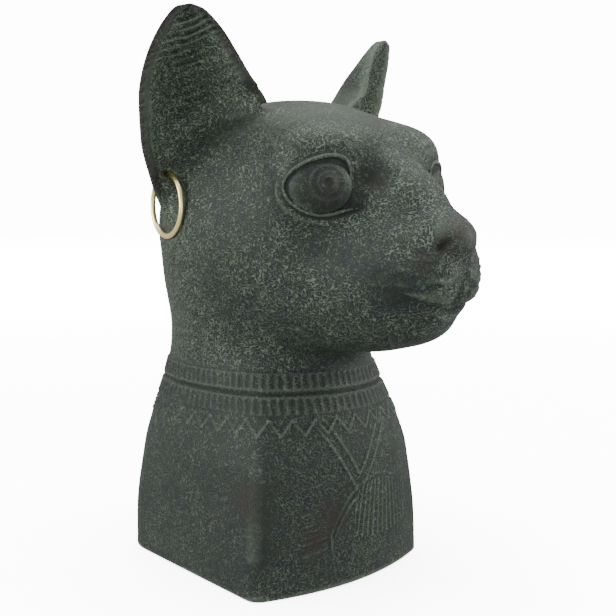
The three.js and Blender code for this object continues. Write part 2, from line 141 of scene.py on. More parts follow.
EAR_TURN = radians(24)
EAR_LOW, EAR_HIGH = 118, 189.3
EAR = profiles({
    "z": [118, 128, 135, 148, 162, 168, 175, 181.5, 185.5, 188.3, 189.3],
    "outer": [38.8, 43.3, 46, 49.2, 49.9, 49.2, 47.3, 44.4, 41.8, 39, 35],
    "inner": [4, 1, 0, 4, 9.8, 15, 19.2, 23.4, 27, 30.6, 34],
    "rim": [16.4, 17, 18.6, 20.2, 22.6, 24.5, 26.3, 28.6, 30, 31, 31.2],
    "depth": [16, 15.2, 14.8, 14.5, 13.9, 12.9, 10.5, 7.6, 6, 4.8, 4.2],
    "fold": [5, 5, 6, 7.5, 7.3, 6.3, 4, 1.6, 0.5, 0, 0],
})
RING_HOLE_Z = 137.2


# Form of the casting
def smooth_min(a, b, width):
    """Lesser of two distances, with the corner where they cross rounded over a width."""
    share = np.clip(0.5 + 0.5 * (b - a) / width, 0, 1)
    return b * (1 - share) + a * share - width * share * (1 - share)


def smooth_step(t):
    """0 below 0, 1 above 1, and an S-shaped rise between."""
    t = np.clip(t, 0, 1)
    return t * t * (3 - 2 * t)


def torso_distance(x, f, z):
    """Distance to the base and neck: a level section with flat flanks and bowed ends, mixed with
    an oval by its share at that height, and closed at the top."""
    half = TORSO["half_width"](z)
    reach = np.where(f > 0, TORSO["front"](z), TORSO["back"](z))
    bow = np.where(f > 0, CHEST_BOW, BACK_BOW)
    corner = np.where(f > 0, CHEST_CORNER, BACK_CORNER)
    end = np.abs(f) - reach + bow * (x / half) ** 2
    squared = -smooth_min(half - np.abs(x), -end, corner)
    oval = np.hypot(x, f) * (1 - 1 / (np.hypot(x / half, f / reach) + TINY))
    side = squared + (oval - squared) * TORSO["oval"](z)
    return -smooth_min(-side, TORSO_TOP - z, TORSO_BLEND)


PAIR_BOW = 1.0


def mass_distance(x, f, z, at, size, tilt=0, swing=0, power=2, pair=False, blend=0):
    """Distance, near enough, to an ellipsoid swung out and tilted up, blunter with more power. A
    pair stands on both sides, and its two halves meet in a small bow."""
    a = (np.hypot(x, PAIR_BOW) if pair else x) - at[0]
    b, c = f - at[1], z - at[2]
    swing, tilt = radians(swing), radians(tilt)
    forward = a * sin(swing) + b * cos(swing)
    local = (a * cos(swing) - b * sin(swing), forward * cos(tilt) + c * sin(tilt),
             c * cos(tilt) - forward * sin(tilt))
    shares = [np.abs(v) / s for v, s in zip(local, size)]
    near = sum(s ** power for s in shares) ** (1 / power) + TINY
    steep = np.sqrt(sum((s ** (power - 1) / r) ** 2 for s, r in zip(shares, size))) + TINY
    return (near - 1) * near ** (power - 1) / steep


def form_distance(x, f, z):
    """Distance to the casting without its ears: the masses joined one after another."""
    head = mass_distance(x, f, z, **SKULL)
    for mass in MASSES:
        head = smooth_min(head, mass_distance(x, f, z, **mass), mass["blend"])
    return smooth_min(torso_distance(x, f, z), head, TORSO_BLEND)


def ray_end(start, way):
    """Where rays from starts inside the form leave it for good: stepped in from far outside, then
    halved between the last step outside and the first inside. Arrays of (..., 3)."""
    reach, step, halvings = 110.0, 2.5, 16

    def at(t):
        p = start + way * t[..., None]
        return form_distance(p[..., 0], p[..., 1], p[..., 2])

    outside = np.full(start.shape[:-1], reach)
    open_still = np.ones(outside.shape, bool)
    while open_still.any() and outside.max() > step:
        trial = outside - step
        hit = at(trial) <= 0
        open_still &= ~hit & (trial > step)
        outside = np.where(open_still, trial, outside)
    inside = outside - step
    for _ in range(halvings):
        middle = (inside + outside) / 2
        out = at(middle) > 0
        outside, inside = np.where(out, middle, outside), np.where(out, inside, middle)
    return start + way * ((inside + outside) / 2)[..., None]


def outward(points, reach=0.15):
    """Unit slope of the distance at points, which is the way out of the form."""
    x, f, z = points[..., 0], points[..., 1], points[..., 2]
    slope = np.stack([
        form_distance(x + reach, f, z) - form_distance(x - reach, f, z),
        form_distance(x, f + reach, z) - form_distance(x, f - reach, z),
        form_distance(x, f, z + reach) - form_distance(x, f, z - reach),
    ], -1)
    return slope / (np.linalg.norm(slope, axis=-1, keepdims=True) + TINY)


def closed_grid(rings, bottom, top):
    """Vertices and faces of a closed surface: rings of points from low to high, each going
    counter-clockwise seen from above, with a pole point below the first and above the last."""
    rows, width = rings.shape[:2]
    vertices = np.concatenate([[bottom], rings.reshape(-1, 3), [top]])
    at = 1 + np.arange(rows * width).reshape(rows, width)
    beside = np.roll(at, -1, axis=1)
    quads = np.stack([at[:-1], beside[:-1], beside[1:], at[1:]], -1).reshape(-1, 4)
    last = len(vertices) - 1
    low = np.stack([np.zeros(width, int), beside[0], at[0]], -1)
    high = np.stack([np.full(width, last), at[-1], beside[-1]], -1)
    return vertices, quads.tolist() + low.tolist() + high.tolist()


IN_METRES = np.array([PART, -PART, PART])


def placed(points):
    """Points in parts (x, f, z) as metres in the frame (x, y, z)."""
    return points * IN_METRES


def mesh_object(name, vertices, faces, material):
    """A smooth mesh object at the origin with its place in its vertices."""
    mesh = bpy.data.meshes.new(name)
    mesh.from_pydata(vertices.tolist(), [], faces)
    mesh.update()
    mesh.polygons.foreach_set("use_smooth", [True] * len(mesh.polygons))
    mesh.materials.append(material)
    piece = bpy.data.objects.new(name, mesh)
    bpy.context.scene.collection.objects.link(piece)
    return piece


# Soft noise for the hand-cut strokes, from one seeded table
NOISE_SIZE = 64
NOISE = np.random.default_rng(7).random((NOISE_SIZE, NOISE_SIZE))


def noise(u, v):
    """Value noise: table values at whole numbers, blended smoothly between them."""
    i, j = np.floor(u).astype(int), np.floor(v).astype(int)
    s, t = smooth_step(u - i), smooth_step(v - j)
    i, j, ahead, above = (n % NOISE_SIZE for n in (i, j, i + 1, j + 1))
    low = NOISE[i, j] * (1 - s) + NOISE[ahead, j] * s
    high = NOISE[i, above] * (1 - s) + NOISE[ahead, above] * s
    return low * (1 - t) + high * t


def ridge(distance, half_width):
    """Rounded ridge, 1 on its line and fading within about a width on both sides."""
    return np.exp(-((distance / half_width) ** 2))


def window(value, low, high, fade, high_fade=None):
    """1 between two limits and 0 beyond them, with a smooth rise over a fade inside each."""
    return smooth_step((value - low) / fade) * smooth_step((high - value) / (high_fade or fade))


STROKE_WANDER, STROKE_SHIFT, STROKE_GAPS = 0.6, 7, 0.3


def strokes(across, along, pitch, length, seed):
    """Rows of short cuts: squared waves across, bent a little by a noise, and broken where another
    noise is low, each row shifted by its own amount. From 0, uncut, to 1, deepest."""
    wander = STROKE_WANDER * (noise(across / pitch / 3 + seed, along / length) - 0.5)
    row = across / pitch + wander
    number = np.floor(row)
    shift = STROKE_SHIFT * NOISE[number.astype(int) % NOISE_SIZE, seed]
    gate = noise(number * 1.7 + seed, along / length + shift)
    wave = 0.5 + 0.5 * np.cos(2 * pi * (row - 0.5))
    return smooth_step((gate - STROKE_GAPS) / 0.25) * wave ** 2


# Base, neck and head as one grid: columns round the body, drawn together at the face, and rows
# up it, level as far as the collar
COLUMNS, HEAD_ROWS, HEAD_TRIALS = 352, 110, 90
FACE_DRAW, FACE_CLOSER = 0.45, 1.6
FOOT_ROWS, PLAIN_PITCH, LEVEL_PITCH = 5, 1.2, 0.62
PLAIN_FROM, PLAIN_TO, LEVEL_FROM = 2.4, 12.5, 13
HEAD_MIDDLE = (18, 120)
JAW_DIP, FRONT_DIP = 30, 12.5
CLIMB_SHARE, SWEEP_FROM = 0.35, 0.3

EVEN_ANGLES = np.arange(COLUMNS) / COLUMNS * 2 * pi
COLUMN_ANGLES = EVEN_ANGLES - FACE_DRAW * np.sin(EVEN_ANGLES)


def level_rows():
    """Rows from the rounded bottom edge to the top of the collar: each a ray out from the middle
    at its height, shortened at the bottom edge by a quarter circle."""
    edge = FOOT_EDGE / PART
    round_edge = np.linspace(0, pi / 2, FOOT_ROWS)
    heights = np.concatenate([
        edge * (1 - np.cos(round_edge)), np.arange(PLAIN_FROM, PLAIN_TO, PLAIN_PITCH),
        np.arange(LEVEL_FROM, COLLAR_TOP + 0.5, LEVEL_PITCH)])
    less = np.zeros(len(heights))
    less[:FOOT_ROWS] = edge * (1 - np.sin(round_edge))
    start = np.zeros((len(heights), COLUMNS, 3))
    start[..., 2] = heights[:, None]
    way = np.zeros_like(start)
    way[..., 0], way[..., 1] = np.sin(COLUMN_ANGLES), np.cos(COLUMN_ANGLES)
    return ray_end(start, way) - way * less[:, None, None]


def head_rays(share, angle):
    """Rays for the head: the start climbs from the neck to the middle of the head while the way
    dips under the jaw, and then the way sweeps up over the face to the crown."""
    climb = smooth_step(share / CLIMB_SHARE)
    dip = -np.radians(JAW_DIP + FRONT_DIP * (1 + np.cos(angle)))
    sweep = np.clip((share - SWEEP_FROM) / (1 - SWEEP_FROM), 0, 1)
    rise = np.minimum(dip * climb + (pi / 2 - dip) * sweep, pi / 2)
    start = np.stack([0 * climb, HEAD_MIDDLE[0] * climb,
                      COLLAR_TOP + (HEAD_MIDDLE[1] - COLLAR_TOP) * climb], -1)
    way = np.stack([np.sin(angle) * np.cos(rise), np.cos(angle) * np.cos(rise), np.sin(rise)], -1)
    return start, way


def head_rows():
    """Rows over the head: each column is cast at even shares first, then again at the shares that
    space its points evenly along it, but closer together on the face."""
    trial = np.linspace(0, 1, HEAD_TRIALS)[1:-1]
    share, angle = np.meshgrid(trial, COLUMN_ANGLES, indexing="ij")
    points = ray_end(*head_rays(share, angle))
    middle = (points[1:] + points[:-1]) / 2
    face = smooth_step((middle[..., 1] - 30) / 25) * smooth_step((middle[..., 2] - 84) / 6)
    steps = (1 + FACE_CLOSER * face) * np.linalg.norm(np.diff(points, axis=0), axis=-1)
    along = np.concatenate([np.zeros((1, COLUMNS)), np.cumsum(steps, axis=0)])
    goals = np.arange(1, HEAD_ROWS + 1) / (HEAD_ROWS + 1)
    shares = np.stack([np.interp(goals * run[-1], run, trial) for run in along.T], 1)
    return ray_end(*head_rays(shares, np.broadcast_to(COLUMN_ANGLES, shares.shape)))


def round_share(points):
    """Share of the way round the body, from the front over its left side, along its own row."""
    steps = np.linalg.norm(np.roll(points, -1, axis=1) - points, axis=-1)
    run = np.cumsum(steps, axis=1) - steps
    return run / steps.sum(axis=1, keepdims=True)


def collar_relief(z, share):
    """Two raised bands cut with upright ticks between edge lines, a groove between the bands, a
    line under them and a row of pointed teeth below. The ticks stand between cuts at the low parts
    of a wave round the body, bent a little by a noise."""
    groove = ridge(z - COLLAR_MIDDLE, COLLAR_GROOVE * 0.8)
    height = COLLAR_RAISE * window(z, COLLAR_FOOT, COLLAR_TOP, 0.5) - (COLLAR_RAISE + 0.35) * groove
    wander = 0.25 * noise(share * 60, z * 0.12)
    gap = 1 - smooth_step(0.4 + 1.1 * np.cos(2 * pi * (TICKS * share + wander)))
    for low, high in ((COLLAR_FOOT + 0.6, COLLAR_MIDDLE - 1.3),
                      (COLLAR_MIDDLE + 1.3, COLLAR_TOP - 0.6)):
        height = height - 0.26 * window(z, low, high, 0.6) * gap
    height = height + 0.35 * ridge(z - (COLLAR_FOOT - 0.7), 0.4)
    tooth = np.abs((share * TEETH) % 1 - 0.5) * 2
    return height + 0.55 * ridge((z - 52.2 - 4.8 * tooth) * 0.7, 0.45)


def straps_relief(x, z):
    """Two straps of double lines that run down to a point in the middle: ridges evenly spaced on
    both sides of a slanting line. Beside the left one stands a fringe of upright strokes."""
    side = np.abs(x)
    strap = (STRAP_SLOPE * side - (z - STRAP_FOOT)) / np.hypot(STRAP_SLOPE, 1)
    lower = ridge(strap - STRAP_HALF, 0.45) * smooth_step((z - 31) / 1.5)
    upper = ridge(strap + STRAP_HALF, 0.45) * smooth_step((z - 36) / 1.5)
    fringe = smooth_step(0.5 + x) * smooth_step((-strap - 2.5) / 1.5) * window(z, 37, 54, 2)
    fringe = fringe * smooth_step((24 - side) / 3) * strokes(side, z, 1.9, 9, 41)
    return 0.45 * smooth_step(57 - z) * (lower + upper) + 0.3 * fringe


def wing_relief(x, z):
    """A wing under a bowed upper edge, mostly on the left side and raised a little as a whole. Its
    feathers fan out downwards and end in short points, with ridges between them, along the wing's
    edges and across it between two tiers."""
    drop = WING["top"] - 6 * ((x - WING["crest"]) / 15) ** 2 - z
    feather = (x - WING["middle"]) / (1 + drop / 60) / WING["pitch"]
    vane = np.abs(feather % 1 - 0.5) * 2
    tip = WING["tip"] + 0.012 * (x - WING["middle"]) ** 2 + 1.2 * vane
    inner, outer = x - WING["inner"], WING["outer"] - x
    field = smooth_step(drop / 0.6) * smooth_step((z - tip) / 0.6)
    field = field * smooth_step(inner / 0.8) * smooth_step(outer / 0.8)
    lines = np.maximum.reduce([
        ridge(1 - vane, 0.36) * smooth_step((drop - 1) / 2), ridge(drop - 0.4, 0.5),
        0.7 * ridge(drop - 8 - vane, 0.45), 0.7 * ridge(z - tip - 0.5, 0.5),
        0.7 * ridge(outer - 0.5, 0.5), 0.7 * ridge(inner - 0.5, 0.5)])
    return field * (0.05 + 0.3 * lines)


def bowed_relief(x, z):
    """On the right side, two bowed lines that run down from the point of the straps, falling with
    the square of their way out, an upright line below them and level strokes beside it."""
    side = np.abs(x)
    bow = z - 32.3 + 0.75 * (side - 2) + 0.065 * (side - 2) ** 2
    bowed = (ridge(0.7 * bow, 0.5) + ridge(0.7 * (bow + 3.5), 0.45)) * window(side, 1, 12.5, 1)
    upright = ridge(side - 12.1 + 0.11 * (18 - z), 0.5) * window(z, 4, 19, 1)
    level = window(side, 12, 24, 2) * window(z, 11, 28, 2)
    level = level * strokes(z + 0.15 * side, side, 1.9, 6, 53)
    return (1 - smooth_step(0.5 + x)) * (0.4 * bowed + 0.4 * upright + 0.3 * level)


def pendant_relief(x, f, z):
    """The ornament on the chest: straps, wing, bowed lines, and two lines that spread towards the
    foot like a tail."""
    tail = ridge(np.abs(x) - 2 - 0.25 * (16 - z), 0.5) * window(z, 3.5, 14, 1)
    ornament = straps_relief(x, z) + wing_relief(x, z) + bowed_relief(x, z) + 0.3 * tail
    return smooth_step((f - 20) / 8) * ornament


def mouth_height(x, f):
    """Height of the mouth's line at a place round the muzzle, and the share of the way to its
    corner: it rises by a quarter wave, steeper in front."""
    share = np.arctan2(np.abs(x), f - MOUTH["behind"]) / MOUTH["facing"]
    return MOUTH["z"] + MOUTH["corner"] * np.sin(np.clip(share, 0, 1) * pi / 2), share


def face_relief(x, f, z):
    """Mouth over a raised lip, a faint groove from nose to mouth, nostrils with a crease round
    each, cuts on the whisker pads, and raised strokes round the front of the lips."""
    side = np.abs(x)
    line, share = mouth_height(x, f)
    mouth = -0.75 * ridge(z - line, MOUTH_GROOVE) * smooth_step((1.1 - share) / 0.3)
    lip = 0.25 * ridge(z - line + 2, 1) * smooth_step((0.8 - share) / 0.3)
    groove = -0.12 * ridge(x, 0.8) * window(z, 95, 112, 1.5, 2)
    out = side - NOSTRIL["out"]
    pit = np.hypot(out / 1.3, z - NOSTRIL["z"] + 0.5 * out)
    nostril = -1.7 * ridge(pit, NOSTRIL["size"] * 0.9) * smooth_step((f - 78) / 2)
    round_wing = ridge(np.hypot(side - 4.6, z - 117.5) - 5.2, 0.7)
    crease = -0.35 * round_wing * smooth_step((side - 5) / 2) * smooth_step((f - 76) / 3)
    pad = smooth_step((side - 2.5) / 2) * window(z, 98, 111, 2, 3) * smooth_step((f - 68) / 6)
    cuts = -0.6 * pad * strokes(z + 0.25 * f, f + side, 1.9, 4.5, 5)
    lips = smooth_step((f - 76) / 3) * window(z, 96, 112, 2)
    raised = 0.35 * lips * strokes(z - 0.012 * x * x, side, 1.7, 4, 37)
    return smooth_step((f - 55) / 5) * (mouth + lip + groove + nostril + crease + cuts + raised)


def eye_outline(angle):
    """Edge of the eye's opening: an oval leaned inwards towards its top, whose inner lower corner
    is drawn out to the tear line by a narrow power of a cosine."""
    top = np.sin(angle) > 0
    height = np.where(top, EYE["up"], EYE["down"]) * np.sin(angle)
    lean = np.where(top, EYE["lean_up"], EYE["lean_down"]) * np.sin(angle) ** 2
    tear = EYE["tear"] * np.maximum(0, np.cos(angle + EYE["tear_turn"])) ** 14
    return EYE["half_width"] * np.cos(angle) + EYE["shift"] - lean - tear, height - 0.2 * tear


def eye_place(x, f, z):
    """Points in the eye's own view: across (outward), up, angle round its middle, reach past its
    outline, under 0 inside, and 1 on the face, fading to 0 behind it."""
    a, b = np.abs(x) - EYE["at"][0], f - EYE["at"][1]
    across, ahead = a * EYE_COS - b * EYE_SIN, a * EYE_SIN + b * EYE_COS
    up = z - EYE["at"][2]
    edge_across, edge_up = eye_outline(np.linspace(-pi, pi, 241))
    edge_angle = np.arctan2(edge_up, edge_across)
    order = np.argsort(edge_angle)
    angle = np.arctan2(up, across)
    edge = np.interp(angle, edge_angle[order], np.hypot(edge_across, edge_up)[order], period=2 * pi)
    return across, up, angle, np.hypot(across, up) - edge, smooth_step((ahead + 18) / 4)


def spot(across, up, at, size):
    """Soft oval patch: 1 at its middle, fading with the squares of the shares of its half sizes."""
    return np.exp(-((across - at[0]) / size[0]) ** 2 - ((up - at[1]) / size[1]) ** 2)


def eye_relief(x, f, z):
    """The face sinks inside the opening, less so at the inner corner. A second, finer fold runs
    under the lower lid and a shallow groove over the upper one. Soft hollows lie beside the bridge
    of the nose, at the temple and under the eye, and level cuts cross the inner brow."""
    across, up, angle, past, front = eye_place(x, f, z)
    corner = smooth_step((-across - 7.5) / 3)
    sunk = (0.9 * corner - 0.5) * smooth_step(-past / 1.2)
    under = smooth_step(-np.sin(angle - 0.25) / 0.35)
    fold = (0.55 * ridge(past - 2.5, 0.55) - 0.3 * ridge(past - 1.5, 0.5)) * under
    lid = -0.35 * ridge(past - 1.6, 0.6) * (1 - under)
    socket = -1.6 * spot(across, up, (-16, 2.5), (6.5, 3.6))
    temple = -1.1 * spot(across, up, (16, 1), (4, 7))
    under_eye = -0.7 * spot(across, up, (-1, -20), (8, 3.5))
    brow = spot(across, up, (-13, 10), (9, 6)) * smooth_step((past - 1.5) / 1.5)
    brow = -0.45 * brow * strokes(up - 0.15 * across, across, 1.6, 4, 61)
    return front * (sunk + fold + lid + socket + temple + under_eye + brow)


def body_object(material):
    """Base, neck and head: the grid of ray ends, moved along the way out by the relief."""
    level, head = level_rows(), head_rows()
    points = np.concatenate([level, head])
    share = round_share(points)
    x, f, z = points[..., 0], points[..., 1], points[..., 2]
    body, face = z < COLLAR_TOP + 0.6, z > 88
    relief = np.where(body, collar_relief(z, share) + pendant_relief(x, f, z), 0)
    relief = relief + np.where(face, face_relief(x, f, z) + eye_relief(x, f, z), 0)
    rings = points + outward(points) * relief[..., None]
    crown = ray_end(np.array([[0.0, *HEAD_MIDDLE]]), np.array([[0.0, 0.0, 1.0]]))[0]
    vertices, faces = closed_grid(rings, np.zeros(3), crown)
    return mesh_object("cat_bust_cast", placed(vertices), faces, material)


# Ears
EAR_ROWS, EAR_BACK, EAR_CUP = 176, 16, 40
EAR_SIN, EAR_COS = sin(EAR_TURN), cos(EAR_TURN)


def ear_point(across, forward, z, side):
    """Point of an ear from its own across and forward, turned out by the ear's turn."""
    x, f = across * EAR_COS + forward * EAR_SIN, forward * EAR_COS - across * EAR_SIN
    return np.stack(np.broadcast_arrays(side * x, f, z), -1)


def ear_walls(z, share):
    """Across, back and cup of the ear at a share from -1, the inner edge, to 1: both are bowed
    like a flattened arch, the cup inside a flat rim, and the inner half folds forward."""
    outer, inner, rim_at, depth = (EAR[key](z) for key in ("outer", "inner", "rim", "depth"))
    rim_at = rim_at + EAR["fold"](z) * np.minimum(share, 0) ** 2
    half = (outer - inner) / 2

    def bulge(s):
        return (1 - np.minimum(s * s, 1)) ** 0.75

    rim = np.minimum(EAR_RIM / PART / half, 0.9)
    floor = np.maximum(depth - EAR_WALL / PART, 0)
    edge = np.minimum(EAR_WALL / PART, depth) * 0.6
    across = (outer + inner) / 2 + half * share
    back = rim_at - edge - (depth - edge) * bulge(share)
    return across, back, rim_at - floor * bulge(share / (1 - rim))


def cup_relief(z, share, side):
    """Hair in the cup, as cuts with raised strokes between them: level over the inner half and the
    tip of the right ear, and upright elsewhere. Outside run short cuts across the outer rim and a
    line along its edge."""
    half = (EAR["outer"](z) - EAR["inner"](z)) / 2
    rim = np.minimum(EAR_RIM / PART / half, 0.9)
    inside = smooth_step((1 - np.where(share > 0, rim, 0.14) - np.abs(share)) * half / 1.6)
    outer = smooth_step(share / 0.2)
    across = share * half
    upright = smooth_step((share - 0.25) / 0.25) * smooth_step((176 - z) / 6) if side < 0 else 1
    row, column = z + 0.35 * across, across + 0.1 * z
    level = strokes(row, across, 2.1, 6, 11) - strokes(row + 1, across, 2.1, 5, 17)
    tall = strokes(column, z, 1.8, 7, 23) - strokes(column + 0.9, z, 1.8, 6, 29)
    hair = level * (1 - upright) + tall * upright
    cuts = outer * strokes(z + 0.5 * across, across, 1.7, 5, 31)
    edge_line = outer * ridge((1 - rim - np.abs(share)) * half, 0.6)
    return -0.75 * inside * hair - 0.2 * (1 - inside) * cuts - 0.45 * edge_line


def ear_object(side, material):
    """One ear: a stack of crescents from inside the head to the tip, closer near the tip."""
    step = np.linspace(0, 1, EAR_ROWS)[:, None]
    z = EAR_LOW + (EAR_HIGH - EAR_LOW) * (0.65 * step + 0.35 * np.sin(step * pi / 2))
    back_share = -np.cos(np.linspace(0, 1, EAR_BACK) * pi)[None, :]
    cup_share = -np.cos(np.linspace(0, 1, EAR_CUP) * pi)[None, ::-1]
    across, back, _ = ear_walls(z, back_share)
    cup_across, _, cup = ear_walls(z, cup_share)
    cup = cup + cup_relief(z, cup_share, side) * smooth_step((EAR_HIGH - z) / 4)
    rings = np.concatenate([
        ear_point(across, back, z, side), ear_point(cup_across, cup, z, side)], 1)
    if side > 0:
        rings = rings[:, ::-1]
    low, tip = rings[0].mean(0), rings[-1].mean(0)
    tip[2] = PARTS_HIGH
    vertices, faces = closed_grid(rings, low, tip)
    return mesh_object("ear", placed(vertices), faces, material)


# Eyes
def eye_surface(across, up, side):
    """Where rays out along the eye's facing leave the face, for places in the eye's view."""
    start = np.stack([EYE["at"][0] - EYE["behind"] * EYE_SIN + across * EYE_COS,
                      EYE["at"][1] - EYE["behind"] * EYE_COS - across * EYE_SIN,
                      EYE["at"][2] + up], -1)
    end = ray_end(start, np.broadcast_to(np.array([EYE_SIN, EYE_COS, 0.0]), start.shape))
    return end * np.array([side, 1, 1])


def tube(path, out, radius, sides):
    """Closed tube round a closed path: a circle of points in the plane of the way out and the
    sideways direction at each point of the path."""
    ahead = np.roll(path, -1, 0) - np.roll(path, 1, 0)
    ahead = ahead / np.linalg.norm(ahead, axis=-1, keepdims=True)
    beside = np.cross(ahead, out)
    angle = np.linspace(0, 2 * pi, sides, endpoint=False)[None, :, None]
    circle = np.cos(angle) * out[:, None, :] + np.sin(angle) * beside[:, None, :]
    points = path[:, None, :] + circle * np.broadcast_to(radius, len(path))[:, None, None]
    at = np.arange(len(path) * sides).reshape(len(path), sides)
    ahead_at, beside_at = np.roll(at, -1, 0), np.roll(at, -1, 1)
    quads = np.stack([at, ahead_at, np.roll(ahead_at, -1, 1), beside_at], -1).reshape(-1, 4)
    return points.reshape(-1, 3), quads.tolist()


def facing_out(piece):
    """The same mesh with its faces turned to point outwards."""
    mesh = bmesh.new()
    mesh.from_mesh(piece.data)
    bmesh.ops.recalc_face_normals(mesh, faces=mesh.faces)
    mesh.to_mesh(piece.data)
    mesh.free()
    return piece


def eye_rim_object(side, material):
    """Raised lid line: a tube along the eye's outline on the face, thinner at both corners and
    thinnest on the inner side."""
    angle = np.linspace(0, 2 * pi, 128, endpoint=False)
    across, up = eye_outline(angle)
    path = eye_surface(across, up, side)
    out = np.broadcast_to(np.array([side * EYE_SIN, EYE_COS, 0.0]), path.shape)
    path = path - EYE_RIM_SUNK * out
    inner = smooth_step((np.abs(angle - pi) - 0.15) / 0.9)
    thin = (0.55 + 0.3 * np.abs(np.sin(angle))) * (0.45 + 0.55 * inner)
    points, faces = tube(placed(path), out * np.array([1, -1, 1]), EYE_RIM * PART * thin, 10)
    return facing_out(mesh_object("lid", points, faces, material))


def eye_ball_object(side, material):
    """Low dome, an ellipsoid set back into the face, with a ring and a pupil cut into it round the
    middle of the iris."""
    rows, around = 40, 60
    wide, deep, tall = EYE_BALL
    lean = np.linspace(0, pi, rows + 2)[1:-1, None]
    round_angle = np.linspace(0, 2 * pi, around, endpoint=False)[None, :]
    across = wide * np.sin(lean) * np.cos(round_angle) + EYE_BALL_SHIFT
    up = tall * np.sin(lean) * np.sin(round_angle)
    reach = np.hypot(across - IRIS_AT[0], up - IRIS_AT[1])
    cut = 0.2 * ridge(reach - IRIS_RING, 0.4) + 0.35 * smooth_step((PUPIL - reach) / 0.7)
    set_back = deep - EYE_RISE
    out = deep * np.cos(lean) - np.where(np.cos(lean) > 0, cut, 0) - set_back
    centre = eye_surface(np.array([0.0]), np.array([0.0]), side)[0]
    rings = np.stack([centre[0] + side * (across * EYE_COS + out * EYE_SIN),
                      centre[1] - across * EYE_SIN + out * EYE_COS, centre[2] + up], -1)
    front, back = (centre + np.array([side * end * EYE_SIN, end * EYE_COS, 0])
                   for end in (deep - set_back, -deep - set_back))
    vertices, faces = closed_grid(rings, front, back)
    return facing_out(mesh_object("eyeball", placed(vertices), faces, material))


# Rings
def ring_middle(side):
    """Middle of a ring: straight below the hole, which lies between the ear's back and its cup."""
    half = (EAR["outer"](RING_HOLE_Z) - EAR["inner"](RING_HOLE_Z)) / 2
    across, back, cup = ear_walls(RING_HOLE_Z, 1 - RING_INSET / PART / half)
    hole = placed(ear_point(across, (back + cup) / 2, RING_HOLE_Z, side))
    return hole - np.array([0, 0, (RING_DIAMETER - RING_WIRE) / 2])


def ring_object(name, side, material, more=0):
    """Ring of round wire, hanging upright and turned a little outward in front."""
    angle = np.linspace(0, 2 * pi, 120, endpoint=False)
    level = np.array([-side * sin(RING_TURN), cos(RING_TURN), 0])
    out = np.cos(angle)[:, None] * level + np.sin(angle)[:, None] * np.array([0, 0, 1.0])
    path = ring_middle(side) + out * (RING_DIAMETER - RING_WIRE) / 2
    points, faces = tube(path, out, RING_WIRE / 2 + more, 20)
    return facing_out(mesh_object(name, points, faces, material))


# Putting the casting together
def edge_ends(mesh):
    """Both vertex numbers of every edge, as an array of two columns."""
    ends = np.empty(len(mesh.edges) * 2, np.int32)
    mesh.edges.foreach_get("vertices", ends)
    return ends.reshape(-1, 2)


def neighbour_mean(values, ends):
    """Mean of each vertex's neighbours along its edges."""
    count = np.bincount(ends.ravel(), minlength=len(values))[:, None] + TINY
    total = np.zeros_like(values)
    for k in range(values.shape[1]):
        total[:, k] = np.bincount(ends[:, 0], values[ends[:, 1], k], len(values))
        total[:, k] += np.bincount(ends[:, 1], values[ends[:, 0], k], len(values))
    return total / count


def vertex_places(mesh):
    """Places of a mesh's vertices as an array of three columns."""
    places = np.empty(len(mesh.vertices) * 3)
    mesh.vertices.foreach_get("co", places)
    return places.reshape(-1, 3)


FAR_AWAY = 99


def ear_distance(x, f, z):
    """Distance, near enough, to the nearer wall of an ear, how far in front of its middle, and
    how far inside the rim of its cup."""
    across = np.abs(x) * EAR_COS - f * EAR_SIN
    forward = np.abs(x) * EAR_SIN + f * EAR_COS
    middle = (EAR["outer"](z) + EAR["inner"](z)) / 2
    half = (EAR["outer"](z) - EAR["inner"](z)) / 2
    _, back, cup = ear_walls(z, np.clip((across - middle) / half, -1, 1))
    past = np.maximum.reduce([back - forward, forward - cup, np.abs(across - middle) - half])
    inside = half - EAR_RIM / PART - np.abs(across - middle)
    return np.where(z > EAR_LOW, np.abs(past), FAR_AWAY), forward - (back + cup) / 2, inside


SOFTEN_ROUNDS, SOFTEN_STEP = 140, 0.7
SOFTEN_BEHIND, SOFTEN_IN_CUP = 2.2, 9


def soften_ear_roots(mesh):
    """Rounds the seam between each ear and the head: near both surfaces, vertices drift to the
    mean of their neighbours, over a wide band inside the cup and a narrow one behind it."""
    places = vertex_places(mesh)
    x, f, z = (places / IN_METRES).T
    own = np.abs(form_distance(x, f, z))
    to_ear, before, _ = ear_distance(x, f, z)
    reach = SOFTEN_BEHIND + SOFTEN_IN_CUP * smooth_step((before + 1) / 3)
    share = smooth_step(1.6 * (1 - own / reach)) * smooth_step(1.6 * (1 - to_ear / reach))
    ends = edge_ends(mesh)
    near = np.flatnonzero(share > 0)
    touched = np.zeros(len(places), bool)
    touched[near] = True
    ends = ends[touched[ends].any(1)]
    for _ in range(SOFTEN_ROUNDS):
        mean = neighbour_mean(places, ends)
        places[near] += SOFTEN_STEP * share[near, None] * (mean[near] - places[near])
    mesh.vertices.foreach_set("co", places.ravel())
    mesh.update()


